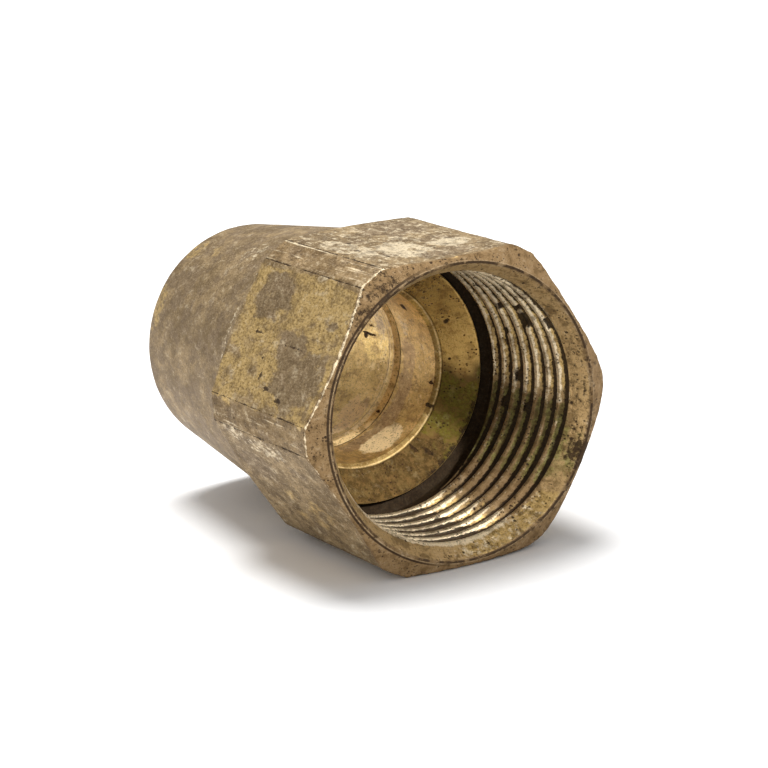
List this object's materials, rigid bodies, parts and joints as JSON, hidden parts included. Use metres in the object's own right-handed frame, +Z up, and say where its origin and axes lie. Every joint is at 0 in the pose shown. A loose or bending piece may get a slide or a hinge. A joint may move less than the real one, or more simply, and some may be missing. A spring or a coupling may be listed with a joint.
{
  "type": "pipe union",
  "caption": "Brass pipe union half: a hexagonal union nut with a threaded mouth and long tapered neck, turning freely on a coned tail sleeve with a solder socket for copper tube.",
  "frame": {"origin": "on the common axis of nut and tail, half-way along the nut", "axes": "+Y along the axis from the threaded mouth towards the tube end, +Z up and square to a pair of hex flats, +X towards a hex corner"},
  "size_m": [0.0298, 0.0394, 0.027],
  "materials": {
    "nut_brass": "forged and turned, dull brown patina with rubbed golden patches",
    "tail_brass": "turned, smooth and brighter inside, stained at the seat"
  },
  "bodies": {
    "nut": {"union_nut": "nut_brass"},
    "tail": {"tail_sleeve": "tail_brass"}
  },
  "joints": [
    {"name": "tail_swivel", "type": "hinge", "parent": "nut", "child": "tail", "pos_m": [0, 0, 0], "axis": [0, 1, 0], "continuous": true}
  ]
}
